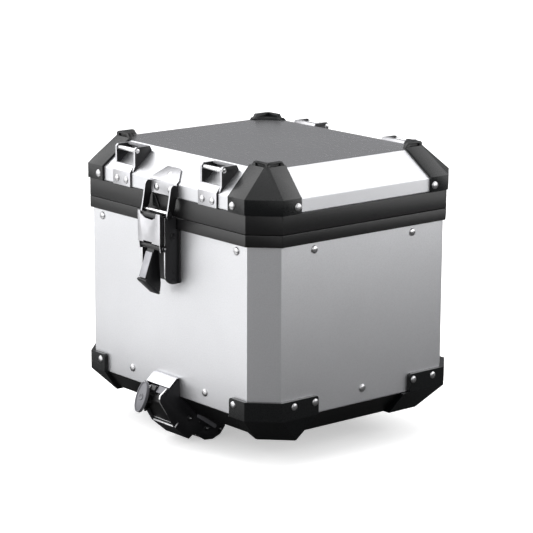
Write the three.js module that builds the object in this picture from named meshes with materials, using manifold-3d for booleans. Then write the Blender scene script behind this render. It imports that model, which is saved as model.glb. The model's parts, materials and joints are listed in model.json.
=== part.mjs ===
// Motorcycle top case: an aluminium box with a domed lid, black corner armour,
// a front draw latch, a quick-release mount lock and lashing points.
// Millimetres, +Z up, the latch faces -Y and the right side is +X.
// Heights are worked out from the lower edge of the aluminium walls; the finished
// assembly is then moved so that its origin is the bottom centre of its bounding box.
import * as THREE from 'three';
import { ConvexGeometry } from 'three/addons/geometries/ConvexGeometry.js';
import { mergeVertices } from 'three/addons/utils/BufferGeometryUtils.js';
import Module from 'manifold-3d';

const wasm = await Module();
wasm.setup();

// ---- driving dimensions -------------------------------------------------------------

const GAP = 0.3;                 // clearance kept between touching pieces
const SHEET = 2.0;               // aluminium wall
const HALF_WIDTH = 190;          // body, along X
const HALF_DEPTH = 165.2;        // body, along Y
const CORNER_CHAMFER = 29.9;     // leg of the vertical corner chamfer
const WALL_TOP = 228;            // top edge of the aluminium wall
const RIM_BOTTOM = 219.8;        // black belt: lower edge, parting line, upper edge
const PARTING = 235.2;
const BELT_TOP = 259.5;
const BELT_PROUD = 4.2;          // how far the belt stands out from the body
const LID_PROUD = 3.5;           // how far the lid wall stands out from the body
const LID_CREASE = 277.7;        // where the upright lid wall turns into the slope
const LID_TOP = 309.9;
const LID_SLOPE_RUN = 37.4;      // inset of the flat top from the lid wall
const TOP_CHAMFER = 4;           // corner chamfer of the flat top
const CAP_THICK = 3.0;
const CAP_ARM_BAND = [130.5, 108.5];   // where a lid cap starts on the front and side walls
const CAP_ARM_TOP = [124, 101];        // and where it starts at the flat top
const RIDGE_HEIGHT = 7;          // strap hooks on a lid cap, above the lid
const RIDGE_WIDTH = 5;
const RIDGE_LENGTH = 30;
const RIDGE_SETBACK = 1;
const RIDGE_GROOVE = { length: 17, height: 3.2, depth: 2.2 };

const BASE_BOTTOM = -29;
const BASE_SHEET = 3;            // moulded tray: floor thickness
const BASE_RECESS = 2.5;         // depth of the recess underneath
const RIB_HALF = 4;
const BUMPER_TOP = 24.3;
const BUMPER_PROUD = 5.8;
const BASE_LEAN = [24.5, 28.3];  // how far the base leans inward, along X and Y
const BUMPER_TAB = [132, 78];    // where a corner bumper ends on the front and side
const TAB_ROUND = 4;
// Each foot: its bottom, how far it leans inward down to there, where it ends under the
// walls (span), and where it ends at the bottom (pad). Its corner chamfer widens downwards.
const FOOT = {
  front: { bottom: -32.8, lean: [12.4, 31.2], span: [130, 79], pad: [148, 105] },
  rear: { bottom: -29, lean: [20, 27.6], span: [130, 67], pad: [140, 60] },
};
const FOOT_CHAMFER_GROWTH = 3.1;

const RIVET_RADIUS = 5.2;
const RIVET_HEIGHT = 2.3;

const LASH_X = 89.2;             // centre of a lash bracket
const LASH_HALF = 21.5;
const LASH_FLANGE_HALF = 18.4;
const LASH_SHEET = 2.4;
const LASH_BAR = { y: 161.2, z: 306.2, radius: 3 };

const LATCH_HALF = 25;           // latch housing, outside
const LATCH_WALL = 2.5;
const LATCH_BOTTOM = 149.5;
const LATCH_TOP = 236;
const LATCH_FRONT = -188;
const LATCH_PIN = { y: -188, z: 197, radius: 3.2 };
const COVER_FRONT = -194.5;
const COVER_HALF = 23.2;
const COVER_BOTTOM = 201.5;
const COVER_TOP = 241;
const LEVER_HALF = 7;

const EAR_INNER = 25.4;          // hasp ears stand either side of the latch housing
const EAR_THICK = 2.2;
const HASP_BAR = { y: -181.5, z: 241.2, radius: 2.2 };

const HINGE_AXIS = { y: 176, z: PARTING };
const HINGE_X = 108;             // centre of each rear hinge
const HINGE_HALF = 34;
const KNUCKLE_RADIUS = 5;
const HINGE_PIN_RADIUS = 2.5;

const LOCK_HALF = 24.5;          // mount lock cheeks, outside
const CHEEK_THICK = 2.5;
const LOCK_POCKET_BACK = -139;   // the base is cut back to here around the lock
const POCKET_ROOM = 0.8;         // and this much clear of its cheeks
// The lock's oval paddle: its middle, its size, its lean, and the round room that it turns in.
const PADDLE = { x: -13.5, y: -197, z: -3, wide: 20, tall: 41, thick: 4, lean: 20, sweep: 22.5 };
const PADDLE_SHAFT = { radius: 4, inner: -7.1 };
const PADDLE_BOSS = { radius: 6.2, inner: -20, outer: -7.5 };
const HOOK_PIN = { y: -121.3, z: -50, radius: 3 };
const STOP_PIN = { y: -149.2, z: -31.4, radius: 3 };

// ---- colours ----------------------------------------------------------------------------

const finish = (color, roughness, metalness) => () =>
  new THREE.MeshStandardMaterial({ color, roughness, metalness });
const aluminium = finish(0xb9bbbf, 0.38, 0.9);
const steel = finish(0xd2d4d8, 0.22, 1.0);
const blackPlastic = finish(0x26272b, 0.55, 0.0);
const blackSteel = finish(0x1b1b1e, 0.45, 0.4);
const greyPlastic = finish(0x77787e, 0.45, 0.1);
const rubber = finish(0x141414, 0.8, 0.0);

// ---- shape helpers ------------------------------------------------------------------------

function solid(geometry) {
  const plain = geometry.clone();
  keepOnlyPositions(plain);
  const merged = mergeVertices(plain, 1e-4);
  const index = merged.index ? merged.index.array : merged.attributes.position.array.map((_, i) => i);
  return new wasm.Manifold(new wasm.Mesh({
    numProp: 3,
    vertProperties: new Float32Array(merged.attributes.position.array),
    triVerts: new Uint32Array(index),
  }));
}

function keepOnlyPositions(geometry) {
  for (const name of ['normal', 'uv']) {
    if (geometry.attributes[name]) geometry.deleteAttribute(name);
  }
}

function geometryOf(manifold) {
  const mesh = manifold.getMesh();
  const geometry = new THREE.BufferGeometry();
  const stride = mesh.numProp;
  const count = mesh.vertProperties.length / stride;
  const positions = new Float32Array(count * 3);
  for (let i = 0; i < count; i++) {
    positions.set(mesh.vertProperties.subarray(i * stride, i * stride + 3), i * 3);
  }
  geometry.setAttribute('position', new THREE.BufferAttribute(positions, 3));
  geometry.setIndex(new THREE.BufferAttribute(new Uint32Array(mesh.triVerts), 1));
  geometry.computeVertexNormals();
  return geometry;
}

const join = (...solids) => solids.reduce((all, one) => all.add(one));
const cut = (base, ...tools) => tools.reduce((left, tool) => left.subtract(tool), base);

function box(low, high) {
  const size = high.map((value, i) => value - low[i]);
  const geometry = new THREE.BoxGeometry(...size);
  geometry.translate(...low.map((value, i) => value + size[i] / 2));
  return solid(geometry);
}

function outlineShape(points) {
  return new THREE.Shape(points.map(([u, v]) => new THREE.Vector2(u, v)));
}

// An outline in (x, y) raised from one height to another.
function prism(points, bottom, top) {
  const geometry = new THREE.ExtrudeGeometry(outlineShape(points), {
    depth: top - bottom, bevelEnabled: false, curveSegments: 8,
  });
  geometry.translate(0, 0, bottom);
  return solid(geometry);
}

// A side view in (y, z) run from one x to another.
function sideProfile(shapeOrPoints, left, right, curveSegments = 6) {
  const shape = Array.isArray(shapeOrPoints) ? outlineShape(shapeOrPoints) : shapeOrPoints;
  const geometry = new THREE.ExtrudeGeometry(shape, {
    depth: right - left, bevelEnabled: false, curveSegments,
  });
  geometry.applyMatrix4(new THREE.Matrix4().makeBasis(
    new THREE.Vector3(0, 1, 0), new THREE.Vector3(0, 0, 1), new THREE.Vector3(1, 0, 0)));
  geometry.translate(left, 0, 0);
  return solid(geometry);
}

// A front view in (x, z) run from one y to another.
function frontProfile(points, near, far) {
  const geometry = new THREE.ExtrudeGeometry(outlineShape(points), {
    depth: far - near, bevelEnabled: false, curveSegments: 8,
  });
  geometry.applyMatrix4(new THREE.Matrix4().makeBasis(
    new THREE.Vector3(1, 0, 0), new THREE.Vector3(0, 0, 1), new THREE.Vector3(0, -1, 0)));
  geometry.translate(0, far, 0);
  return solid(geometry);
}

// A round bar along X.
function barX(radius, left, right, y, z, sides = 20) {
  const geometry = new THREE.CylinderGeometry(radius, radius, right - left, sides);
  geometry.rotateZ(Math.PI / 2);
  geometry.translate((left + right) / 2, y, z);
  return solid(geometry);
}

const mirrorX = (manifold) => manifold.mirror([1, 0, 0]);
const mirrorY = (manifold) => manifold.mirror([0, 1, 0]);

// The body's plan: a rectangle with chamfered corners, grown by an even margin.
function plan(margin, chamfer = CORNER_CHAMFER + (2 - Math.SQRT2) * margin) {
  return chamferedPlan(HALF_WIDTH + margin, HALF_DEPTH + margin, chamfer);
}

function chamferedPlan(halfX, halfY, chamfer) {
  const quarter = [[halfX - chamfer, halfY], [halfX, halfY - chamfer]];
  const ring = [];
  for (const [signX, signY, flip] of [[1, 1, false], [1, -1, true], [-1, -1, false], [-1, 1, true]]) {
    const corner = flip ? [...quarter].reverse() : quarter;
    for (const [x, y] of corner) ring.push([signX * x, signY * y]);
  }
  return ring.reverse();
}

function ring(outerMargin, innerMargin, bottom, top) {
  return cut(prism(plan(outerMargin), bottom, top), prism(plan(innerMargin), bottom - 1, top + 1));
}

function hull(levels) {
  const points = [];
  for (const { z, outline } of levels) {
    for (const [x, y] of outline) points.push(new THREE.Vector3(x, y, z));
  }
  return solid(new ConvexGeometry(points));
}

// ---- the assembly ---------------------------------------------------------------------------

const assembly = new THREE.Group();

function add(name, shape, material) {
  const geometry = shape instanceof THREE.BufferGeometry ? shape : geometryOf(shape);
  const mesh = new THREE.Mesh(geometry, material());
  mesh.name = name;
  assembly.add(mesh);
  return mesh;
}

const CORNERS = [
  { name: 'front_left', x: -1, y: -1 },
  { name: 'front_right', x: 1, y: -1 },
  { name: 'rear_left', x: -1, y: 1 },
  { name: 'rear_right', x: 1, y: 1 },
];

// A piece made for the corner at +X +Y, turned to another corner.
function toCorner(manifold, corner) {
  const acrossX = corner.x < 0 ? mirrorX(manifold) : manifold;
  return corner.y < 0 ? mirrorY(acrossX) : acrossX;
}

// ---- body ---------------------------------------------------------------------------------------

// Outline of the shallow recess under the base, which the feet stand around.
const RECESS_PLAN = chamferedPlan(HALF_WIDTH - 34, HALF_DEPTH - 52, 24);

add('body_shell', ring(0, -SHEET, 0, WALL_TOP), aluminium);
add('floor_panel', prism(plan(-SHEET - GAP), GAP, GAP + SHEET), aluminium);
add('body_rim', ring(BELT_PROUD, GAP, RIM_BOTTOM, PARTING - GAP), blackPlastic);
add('rim_seal', ring(-GAP, -3.5, WALL_TOP + GAP, PARTING + 1.6), rubber);

// Base and feet lean inward from the walls to their bottom; margin shrinks the shape evenly.
function leaningVolume(margin, lean, bottom, chamferGrowth = 0) {
  const low = chamferedPlan(
    HALF_WIDTH + BUMPER_PROUD - lean[0] - margin,
    HALF_DEPTH + BUMPER_PROUD - lean[1] - margin,
    CORNER_CHAMFER + (2 - Math.SQRT2) * (BUMPER_PROUD - margin) + chamferGrowth);
  return hull([{ z: -GAP, outline: plan(BUMPER_PROUD - margin) }, { z: bottom, outline: low }]);
}

// An open-topped moulded tray, closed above by the floor panel, with ribs inside
// and a shallow recess underneath.
function buildBaseFrame() {
  const trayFloor = BASE_BOTTOM + BASE_RECESS + BASE_SHEET;
  const inside = prism(chamferedPlan(HALF_WIDTH - 28, HALF_DEPTH - 34, 28), trayFloor, 1);
  const recess = prism(RECESS_PLAN, BASE_BOTTOM - 1, BASE_BOTTOM + BASE_RECESS);
  const pocket = box([-LOCK_HALF - POCKET_ROOM, -HALF_DEPTH - 30, BASE_BOTTOM - 5],
    [LOCK_HALF + POCKET_ROOM, LOCK_POCKET_BACK, 1]);
  const longRib = box([-HALF_WIDTH + 27, -RIB_HALF, trayFloor - 1], [HALF_WIDTH - 27, RIB_HALF, -GAP]);
  const crossRib = box([-RIB_HALF, -HALF_DEPTH + 33, trayFloor - 1], [RIB_HALF, HALF_DEPTH - 33, -GAP]);
  const tray = cut(leaningVolume(BUMPER_PROUD + GAP, BASE_LEAN, BASE_BOTTOM), inside, recess);
  return cut(join(tray, longRib, crossRib), pocket);
}
add('base_frame', buildBaseFrame(), blackPlastic);

// Outline of what rounds off a plate's upper corner at (u, v), where the plate starts at u.
function cornerRelief(u, v, radius) {
  const steps = 4;
  const arc = [];
  for (let i = 0; i <= steps; i++) {
    const angle = (i / steps) * (Math.PI / 2);
    arc.push([u + radius * (1 - Math.cos(angle)), v - radius * (1 - Math.sin(angle))]);
  }
  return [...arc, [u + radius, v + 1], [u - 1, v + 1], [u - 1, v - radius]];
}

// A corner bumper wraps the corner, and its lower part is a foot.
function buildBumper(end) {
  const [tabX, tabY] = BUMPER_TAB;
  const { bottom, lean, span, pad } = FOOT[end];
  const far = 260;
  const wrap = cut(prism(plan(BUMPER_PROUD), -GAP, BUMPER_TOP), prism(plan(GAP), -5, BUMPER_TOP + 1));
  const wrapZone = box([tabX, tabY, -GAP], [far, far, BUMPER_TOP + 1]);
  const roundOffX = frontProfile(cornerRelief(tabX, BUMPER_TOP, TAB_ROUND), HALF_DEPTH - 1, far);
  const roundOffY = sideProfile(cornerRelief(tabY, BUMPER_TOP, TAB_ROUND), HALF_WIDTH - 1, far);
  const upper = cut(wrap.intersect(wrapZone), roundOffX, roundOffY);

  const foot = cut(
    leaningVolume(0, lean, bottom, FOOT_CHAMFER_GROWTH),
    leaningVolume(BUMPER_PROUD, BASE_LEAN, BASE_BOTTOM - GAP),
    prism(RECESS_PLAN, bottom - 5, 0));
  const cornerZone = ([x, y]) => [[x, y], [far, y], [far, far], [x, far]];
  const footZone = hull([
    { z: -GAP, outline: cornerZone(span) },
    { z: bottom, outline: cornerZone(pad) },
  ]);
  return join(upper, foot.intersect(footZone));
}
const bumpers = { front: buildBumper('front'), rear: buildBumper('rear') };
for (const corner of CORNERS) {
  const end = corner.y < 0 ? 'front' : 'rear';
  add(`${corner.name}_bumper`, toCorner(bumpers[end], corner), blackPlastic);
}

// ---- body rivets --------------------------------------------------------------------------------

function rivetGeometry() {
  const steps = 5;
  const profile = [new THREE.Vector2(0, 0)];
  for (let i = 0; i <= steps; i++) {
    const angle = (i / steps) * (Math.PI / 2);
    const radius = i === steps ? 0 : RIVET_RADIUS * Math.cos(angle);
    profile.push(new THREE.Vector2(radius, 0.5 + (RIVET_HEIGHT - 0.5) * Math.sin(angle)));
  }
  profile.splice(1, 0, new THREE.Vector2(RIVET_RADIUS, 0));
  return new THREE.LatheGeometry(profile, 14);
}

function addRivet(name, x, y, z, outward) {
  const geometry = rivetGeometry();
  const turn = new THREE.Quaternion().setFromUnitVectors(
    new THREE.Vector3(0, 1, 0), new THREE.Vector3(...outward));
  geometry.applyQuaternion(turn);
  geometry.translate(x + outward[0] * 0.1, y + outward[1] * 0.1, z);
  add(name, geometryOf(solid(geometry)), steel);
}

for (const [face, side] of [['front', -1], ['rear', 1]]) {
  for (const [hand, sign] of [['left', -1], ['right', 1]]) {
    addRivet(`${face}_upper_rivet_${hand}`, sign * 140, side * HALF_DEPTH, 211, [0, side, 0]);
    addRivet(`${face}_lower_rivet_${hand}`, sign * 76.5, side * HALF_DEPTH, 17, [0, side, 0]);
  }
}
for (const [hand, sign] of [['left', -1], ['right', 1]]) {
  addRivet(`${hand}_upper_rivet_front`, sign * HALF_WIDTH, -82.5, 210.5, [sign, 0, 0]);
  addRivet(`${hand}_upper_rivet_rear`, sign * HALF_WIDTH, 82.5, 210.5, [sign, 0, 0]);
  addRivet(`${hand}_lower_rivet`, sign * HALF_WIDTH, 0, 18.7, [sign, 0, 0]);
}

// ---- lid ------------------------------------------------------------------------------------------

const LID_RISE = LID_TOP - LID_CREASE;
const SLOPE_ANGLE = Math.atan2(LID_RISE, LID_SLOPE_RUN);

// The lid's outer surface, moved outward by an even margin.
function lidVolume(margin, bottom) {
  const creaseLift = margin * Math.tan((Math.PI / 2 - SLOPE_ANGLE) / 2);
  const topGrow = margin * Math.tan(SLOPE_ANGLE / 2);
  const wall = plan(LID_PROUD + margin);
  const top = chamferedPlan(
    HALF_WIDTH + LID_PROUD - LID_SLOPE_RUN + topGrow,
    HALF_DEPTH + LID_PROUD - LID_SLOPE_RUN + topGrow,
    TOP_CHAMFER + (2 - Math.SQRT2) * topGrow);
  return hull([
    { z: bottom, outline: wall },
    { z: LID_CREASE + creaseLift, outline: wall },
    { z: LID_TOP + margin, outline: top },
  ]);
}

// Height of the lid surface, margin above it, at a distance from the centre plane.
function slopeHeight(y, margin = 0) {
  const fromCrease = HALF_DEPTH + LID_PROUD - Math.abs(y);
  return LID_CREASE + fromCrease * (LID_RISE / LID_SLOPE_RUN) + margin / Math.cos(SLOPE_ANGLE);
}

add('lid_shell', cut(lidVolume(0, BELT_TOP + GAP), lidVolume(-SHEET, BELT_TOP - 5)), aluminium);
add('lid_rim', ring(BELT_PROUD, GAP, PARTING + GAP, BELT_TOP), blackPlastic);

function buildCap() {
  const skin = cut(lidVolume(CAP_THICK, BELT_TOP + GAP), lidVolume(GAP, BELT_TOP - 5));
  const crease = [HALF_WIDTH + LID_PROUD, HALF_DEPTH + LID_PROUD];
  const top = [crease[0] - LID_SLOPE_RUN, crease[1] - LID_SLOPE_RUN];
  const zone = prism([
    [CAP_ARM_BAND[0], 220], [CAP_ARM_BAND[0], crease[1]], [CAP_ARM_TOP[0], top[1]],
    [top[0], CAP_ARM_TOP[1]], [crease[0], CAP_ARM_BAND[1]], [240, CAP_ARM_BAND[1]], [240, 220],
  ], BELT_TOP, LID_TOP + CAP_THICK + 1);
  const base = LID_TOP + 1;
  const peak = LID_TOP + RIDGE_HEIGHT + 1;
  const ramp = 5;
  const armOutline = (start) => [
    [start - RIDGE_LENGTH, base], [start - RIDGE_LENGTH + ramp, peak], [start - 2, peak], [start, peak - 2],
    [start, base],
  ];
  const face = top.map((value) => value - RIDGE_SETBACK);
  const alongX = frontProfile(armOutline(face[0]), face[1] - RIDGE_WIDTH, face[1]);
  const alongY = sideProfile(armOutline(face[1]), face[0] - RIDGE_WIDTH, face[0]);
  const grooveLow = LID_TOP + CAP_THICK;
  const grooveHigh = grooveLow + RIDGE_GROOVE.height;
  const grooveFar = face.map((value) => value - RIDGE_WIDTH - RIDGE_GROOVE.length);
  const grooveX = box([grooveFar[0], face[1] - RIDGE_GROOVE.depth, grooveLow],
    [face[0] - RIDGE_WIDTH, top[1] + 5, grooveHigh]);
  const grooveY = box([face[0] - RIDGE_GROOVE.depth, grooveFar[1], grooveLow],
    [top[0] + 5, face[1] - RIDGE_WIDTH, grooveHigh]);
  const floor = lidVolume(GAP, BELT_TOP - 5);
  return cut(join(skin.intersect(zone), alongX, alongY), grooveX, grooveY, floor);
}
const cap = buildCap();
for (const corner of CORNERS) add(`${corner.name}_lid_cap`, toCorner(cap, corner), blackPlastic);

// ---- lash brackets and their bars -------------------------------------------------------------------

// Made for the rear (+Y) at x = 0, then moved.
function buildLashBracket() {
  const wall = HALF_DEPTH + LID_PROUD + GAP;
  const front = 165;
  const back = 138;
  const topZ = 311;
  const outer = sideProfile([
    [front, slopeHeight(front, 0.4)], [front, 308], [162, topZ], [141, topZ],
    [back, slopeHeight(back, 0.4) + 0.8], [back, slopeHeight(back, 0.4)],
  ], -LASH_HALF, LASH_HALF);
  const hollow = sideProfile([
    [front - LASH_SHEET, 260], [front - LASH_SHEET, 307], [161, topZ - LASH_SHEET],
    [142, topZ - LASH_SHEET], [139.5, 304], [139.5, 260],
  ], -LASH_HALF + LASH_SHEET, LASH_HALF - LASH_SHEET);
  const windowHalf = LASH_HALF - 3.4;
  const window = box([-windowHalf, 147, 287.5], [windowHalf, 180, 330]);
  const flange = sideProfile([
    [wall, BELT_TOP + GAP], [wall + 2, BELT_TOP + GAP], [wall + 2, LID_CREASE + 1],
    [front, 286.5], [front - 3, 286.5], [front - 3, slopeHeight(front - 3, 0.4)],
    [wall, LID_CREASE + 0.6],
  ], -LASH_FLANGE_HALF, LASH_FLANGE_HALF);
  const shoulder = sideProfile([
    [front + 2.5, slopeHeight(front + 2.5, 0.5)], [front + 2.5, slopeHeight(front + 2.5, 0.5) + 2],
    [front, 286.5], [front - 3, 286.5], [front - 3, slopeHeight(front - 3, 0.5)],
  ], -LASH_HALF, LASH_HALF);
  const barHole = barX(LASH_BAR.radius + GAP, -60, 60, LASH_BAR.y, LASH_BAR.z);
  return cut(join(cut(outer, hollow, window), flange, shoulder), barHole);
}

const lashBracket = buildLashBracket();
const lashBar = barX(LASH_BAR.radius, -LASH_HALF - 1, LASH_HALF + 1, LASH_BAR.y, LASH_BAR.z);
for (const corner of CORNERS) {
  const place = (manifold) => {
    const turned = corner.y < 0 ? mirrorY(manifold) : manifold;
    return turned.translate([corner.x * LASH_X, 0, 0]);
  };
  add(`${corner.name}_lash_bracket`, place(lashBracket), steel);
  add(`${corner.name}_lash_bar`, place(lashBar), steel);
}

// ---- lid hasp ------------------------------------------------------------------------------------------

function buildHasp() {
  const wall = -(HALF_DEPTH + LID_PROUD + GAP);
  const outer = EAR_INNER + EAR_THICK;
  const plate = sideProfile([
    [wall, BELT_TOP + 1.5], [wall - 1.8, BELT_TOP + 1.5], [wall - 1.8, LID_CREASE + 0.9],
    [-153, slopeHeight(-153, 2.2)], [-153, slopeHeight(-153, 0.4)], [wall, LID_CREASE + 0.4],
  ], -outer, outer);
  const trim = prism([[outer, -167], [40, -167], [40, -140], [14, -140], [14, -153]], 250, 320);
  const ear = new THREE.Shape();
  ear.moveTo(-169.3, 262);
  ear.lineTo(-169.3, 273.5);
  ear.quadraticCurveTo(-170.5, 276.8, -174.5, 277);
  ear.quadraticCurveTo(-180, 277, -181, 268);
  ear.lineTo(-182.6, 258);
  ear.lineTo(-184.6, 247);
  ear.lineTo(-186.8, 238);
  ear.lineTo(-185, 234.2);
  ear.lineTo(-179.5, 235);
  ear.lineTo(-174, 247);
  ear.lineTo(-171.5, 258);
  const rightEar = sideProfile(ear, EAR_INNER, outer);
  const barHole = barX(HASP_BAR.radius + GAP, -60, 60, HASP_BAR.y, HASP_BAR.z);
  return cut(join(plate, rightEar, mirrorX(rightEar)), trim, mirrorX(trim), barHole);
}

add('lid_hasp', buildHasp(), steel);
add('lid_hasp_bar', barX(HASP_BAR.radius, -EAR_INNER - EAR_THICK, EAR_INNER + EAR_THICK,
  HASP_BAR.y, HASP_BAR.z), steel);

// ---- latch on the body ---------------------------------------------------------------------------------

function buildLatchHousing() {
  const back = -HALF_DEPTH - GAP;
  const rimBack = -(HALF_DEPTH + BELT_PROUD + GAP + 0.3);
  const wall = new THREE.Shape();
  wall.moveTo(back, LATCH_BOTTOM);
  wall.lineTo(back, RIM_BOTTOM - GAP);
  wall.lineTo(rimBack, RIM_BOTTOM - GAP);
  wall.lineTo(rimBack, LATCH_TOP);
  wall.lineTo(LATCH_FRONT, LATCH_TOP);
  wall.lineTo(LATCH_FRONT, LATCH_BOTTOM + 14);
  wall.absarc(LATCH_FRONT + 14, LATCH_BOTTOM + 14, 14, Math.PI, Math.PI * 1.5, false);
  const body = sideProfile(wall, -LATCH_HALF, LATCH_HALF);
  const channel = box([-LATCH_HALF + LATCH_WALL, -240, 100],
    [LATCH_HALF - LATCH_WALL, back - 2.3, 300]);
  const pinHole = barX(LATCH_PIN.radius + GAP, -60, 60, LATCH_PIN.y, LATCH_PIN.z);
  const saddle = box([-60, -200, LATCH_PIN.z - 1], [60, LATCH_PIN.y, LATCH_PIN.z + 1]);
  return cut(body, channel, pinHole, saddle);
}
add('latch_housing', buildLatchHousing(), blackSteel);
add('latch_pivot_pin', barX(LATCH_PIN.radius, -LATCH_HALF - GAP, LATCH_HALF + GAP, LATCH_PIN.y, LATCH_PIN.z),
  steel);

function buildLatchCover() {
  const inner = LATCH_HALF - LATCH_WALL - GAP;
  const plateBack = COVER_FRONT + 1.6;
  const plate = box([-COVER_HALF, COVER_FRONT, COVER_BOTTOM], [COVER_HALF, plateBack, COVER_TOP]);
  const notch = frontProfile([
    [-20.5, COVER_TOP + 5], [-17, 236.5], [-9, 232.8], [6, 232], [13, 235], [16.5, COVER_TOP + 5],
  ], COVER_FRONT - 5, plateBack + 0.05);
  const foot = box([-11.5, COVER_FRONT - 1, COVER_BOTTOM - 1], [6, plateBack + 0.05, COVER_BOTTOM + 2]);
  const flange = sideProfile([
    [COVER_FRONT + 0.4, COVER_BOTTOM], [-192.6, 192], [-184, 192], [-179, 199],
    [-178, 226], [-185.5, 231], [-186, 237.5], [COVER_FRONT + 0.4, 238.5],
  ], inner - 1.5, inner);
  const pinHole = barX(LATCH_PIN.radius + GAP, -60, 60, LATCH_PIN.y, LATCH_PIN.z);
  return cut(join(cut(plate, notch, foot), flange, mirrorX(flange)), pinHole);
}
add('latch_cover', buildLatchCover(), steel);

const ROLLER = { y: -189.4, z: 236.2, radius: 3.5 };
const rollerHalf = LATCH_HALF - LATCH_WALL - 2 * GAP - 1.5;
add('latch_roller', barX(ROLLER.radius, -rollerHalf, rollerHalf, ROLLER.y, ROLLER.z), blackSteel);

function buildLatchLever() {
  const hubHalf = rollerHalf - 0.2;
  const hub = barX(4.6, -hubHalf, hubHalf, LATCH_PIN.y, LATCH_PIN.z);
  const wedge = sideProfile([
    [-191.2, 194.5], [-204, 157.5], [-201.5, 153.5], [-184, 136.8], [-182.2, 138.5],
    [-181, 149], [-184.6, 194],
  ], -LEVER_HALF, LEVER_HALF);
  const lip = sideProfile([
    [-204, 157.5], [-207, 156.2], [-205.6, 153.4], [-186, 135], [-184, 136.8], [-201.5, 153.5],
  ], -LEVER_HALF - 2.5, LEVER_HALF + 2.5);
  const hole = barX(LATCH_PIN.radius + GAP, -60, 60, LATCH_PIN.y, LATCH_PIN.z);
  return cut(join(hub, wedge, lip), hole);
}
add('latch_lever', buildLatchLever(), blackSteel);

const strap = sideProfile([
  [-192.95, 190.5], [-194.35, 190], [-205.95, 158.6], [-204.55, 158.7],
], -LEVER_HALF + 0.2, LEVER_HALF - 0.2);
add('latch_lever_strap', strap, steel);

// ---- rear hinges --------------------------------------------------------------------------------------

function knuckle(left, right) {
  return barX(KNUCKLE_RADIUS, left, right, HINGE_AXIS.y, HINGE_AXIS.z, 18);
}

function buildHingeLeaf(upward) {
  const face = HALF_DEPTH + BELT_PROUD + GAP;
  const inner = upward ? HINGE_AXIS.z + 1 : HINGE_AXIS.z - 1;
  const outer = upward ? BELT_TOP - 2 : RIM_BOTTOM + 1;
  const plate = box([-HINGE_HALF, face, Math.min(inner, outer)],
    [HINGE_HALF, face + 2, Math.max(inner, outer)]);
  const knuckleCount = 5;
  const pitch = (2 * HINGE_HALF) / knuckleCount;
  const pieces = [plate];
  const reliefs = [];
  for (let i = 0; i < knuckleCount; i++) {
    const left = -HINGE_HALF + i * pitch;
    const mine = (i % 2 === 0) !== upward;
    if (mine) {
      pieces.push(knuckle(left + GAP / 2, left + pitch - GAP / 2));
    } else {
      reliefs.push(barX(KNUCKLE_RADIUS + 0.6, left - GAP / 2, left + pitch + GAP / 2,
        HINGE_AXIS.y, HINGE_AXIS.z, 24));
    }
  }
  const pinHole = barX(HINGE_PIN_RADIUS + GAP, -60, 60, HINGE_AXIS.y, HINGE_AXIS.z, 18);
  return cut(join(...pieces), ...reliefs, pinHole);
}

for (const [hand, sign] of [['left', -1], ['right', 1]]) {
  add(`hinge_body_leaf_${hand}`, buildHingeLeaf(false).translate([sign * HINGE_X, 0, 0]), blackSteel);
  add(`hinge_lid_leaf_${hand}`, buildHingeLeaf(true).translate([sign * HINGE_X, 0, 0]), blackSteel);
  const pin = barX(HINGE_PIN_RADIUS, -HINGE_HALF - 1, HINGE_HALF + 1, HINGE_AXIS.y, HINGE_AXIS.z, 16);
  add(`hinge_pin_${hand}`, pin.translate([sign * HINGE_X, 0, 0]), steel);
}

// ---- mount lock under the front edge --------------------------------------------------------------------

const PADDLE_LEAN = THREE.MathUtils.degToRad(PADDLE.lean);

// Turns a shape drawn on the paddle's own axis (outward along +Y) into place.
function placeOnPaddle(geometry) {
  geometry.rotateX(Math.PI - PADDLE_LEAN);
  geometry.translate(PADDLE.x, PADDLE.y, PADDLE.z);
  return solid(geometry);
}

// A cylinder on the paddle's turning axis; distances run outward from the paddle's middle.
function paddleCylinder(radius, inner, outer, sides = 28) {
  const geometry = new THREE.CylinderGeometry(radius, radius, outer - inner, sides);
  geometry.translate(0, (inner + outer) / 2, 0);
  return placeOnPaddle(geometry);
}

const CHEEK_OUTLINE = [
  [-165.8, 22.1], [-169.5, 21.9], [-181.1, 11.4], [-184.6, 14.6], [-196.2, 6.2], [-197.4, 2], [-196.6, -2.5],
  [-173.6, -40.1], [-150.9, -59.3], [-142.7, -54.1], [-137, -57], [-124.7, -65.7],
  [-111.4, -67], [-99, -62.5], [-91, -53], [-90, -42], [-96, BASE_BOTTOM - GAP],
  [LOCK_POCKET_BACK - 0.4, BASE_BOTTOM - GAP], [LOCK_POCKET_BACK - 0.4, -0.8], [-165.8, -0.8],
];

const paddleRoom = () => paddleCylinder(PADDLE.sweep, -5, 14);

function buildLockBracket() {
  const cheek = sideProfile(CHEEK_OUTLINE, LOCK_HALF - CHEEK_THICK, LOCK_HALF);
  const skid = sideProfile([
    [-173.6, -40.1], [-150.9, -59.3], [-142.7, -54.1], [-145, -51.6], [-151, -55.2], [-171.4, -37.8],
  ], -LOCK_HALF, LOCK_HALF);
  const backPlate = box([-LOCK_HALF, -142.5, -27.5], [LOCK_HALF, LOCK_POCKET_BACK - 0.4, -1.5]);
  const hookHole = barX(HOOK_PIN.radius + GAP, -60, 60, HOOK_PIN.y, HOOK_PIN.z);
  const stopHole = barX(STOP_PIN.radius + GAP, -60, 60, STOP_PIN.y, STOP_PIN.z);
  return cut(join(cheek, mirrorX(cheek), skid, backPlate), hookHole, stopHole, paddleRoom());
}
add('lock_bracket', buildLockBracket(), blackSteel);

const lockInside = LOCK_HALF - CHEEK_THICK - GAP;
add('lock_hood', sideProfile([
  [-165.8, 22.5], [-165.8, 25], [-170.5, 24.6], [-182, 14.2], [-180.6, 12.4], [-169.6, 22.3],
], -LOCK_HALF, LOCK_HALF), steel);

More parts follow.
